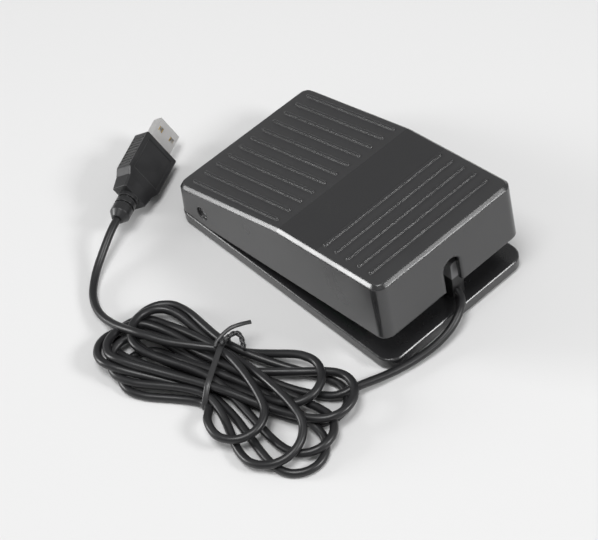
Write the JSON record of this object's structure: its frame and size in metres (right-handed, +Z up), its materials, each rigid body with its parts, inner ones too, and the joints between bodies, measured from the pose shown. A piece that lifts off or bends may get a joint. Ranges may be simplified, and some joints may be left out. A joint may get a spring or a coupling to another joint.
{
  "type": "foot pedal switch",
  "caption": "Foot pedal switch: a hinged, ribbed wedge cover over a flat base with rubber feet, a snap-action switch inside and a tied hank of cord that ends in a flat plug.",
  "frame": {"origin": "middle of the base, at the underside of the rubber feet, without the free cord", "axes": "+X across the pedal to the right, +Y to the hinge at the rear, the cord leaves at -Y, +Z up"},
  "size_m": [0.1491, 0.1784, 0.0458],
  "materials": {
    "cover_plastic": "black, glossy walls and grained tread fields",
    "base_plastic": "black, glossy",
    "steel": "bright plated",
    "spring_steel": "bright spring steel",
    "switch_plastic": "moulded, matt",
    "red_plastic": "red, smooth",
    "brass": "plated contact metal",
    "board_green": "green solder mask",
    "chip_black": "moulded, matt",
    "component_tan": "ceramic",
    "header_ivory": "ivory nylon",
    "wire_colours": "thin coloured insulation",
    "wire_blue": "thin blue insulation",
    "anchor_grey": "dark grey, semi-gloss",
    "clamp_black": "black nylon",
    "cord_black": "soft black sheath, satin",
    "tie_black": "coated wire, satin",
    "plug_black": "moulded, satin",
    "shell_metal": "bright nickel plate",
    "tongue_white": "white moulding",
    "foot_rubber": "black rubber"
  },
  "bodies": {
    "base": {"base_tray": "base_plastic", "hinge_pin": "steel", "return_spring": "spring_steel", "switch_body": "switch_plastic", "switch_terminals": "brass", "switch_screws": "steel", "circuit_board": "board_green", "usb_chip": "chip_black", "board_parts": "component_tan", "crystal": "steel", "board_screws": "steel", "cord_header": "header_ivory", "switch_header": "header_ivory", "inner_wires": "wire_colours", "switch_wires": "wire_blue", "cord_anchor": "anchor_grey", "cord_clamp": "clamp_black", "clamp_screws": "steel", "cord_inner": "cord_black", "cord_run": "cord_black", "cord_hank": "cord_black", "cord_lead": "cord_black", "twist_tie": "tie_black", "plug_body": "plug_black", "plug_neck": "plug_black", "plug_shell": "shell_metal", "plug_tongue": "tongue_white", "plug_contacts": "brass", "rubber_feet": "foot_rubber", "stop_pads": "foot_rubber"},
    "pedal": {"pedal_cover": "cover_plastic"},
    "plunger": {"switch_plunger": "red_plastic"},
    "lever": {"switch_lever": "spring_steel"}
  },
  "joints": [
    {"name": "pedal_hinge", "type": "hinge", "parent": "base", "child": "pedal", "pos_m": [0, 0.0455, 0.0133], "axis": [1, 0, 0], "range_deg": [0, 4.2], "stiffness_Nm_per_rad": 8, "springref_deg": -2.58, "deforming": ["return_spring"]},
    {"name": "lever_pivot", "type": "hinge", "parent": "base", "child": "lever", "pos_m": [0, 0.017, 0.025], "axis": [1, 0, 0], "range_deg": [0, 9.7]},
    {"name": "plunger_slide", "type": "slide", "parent": "base", "child": "plunger", "axis": [0, 0, -1], "range_m": [0, 0.00095]}
  ],
  "couplings": [
    {"joint": "lever_pivot", "follows": "pedal_hinge", "ratio": 2.3},
    {"joint": "plunger_slide", "follows": "pedal_hinge", "m_per_rad": 0.0126}
  ]
}
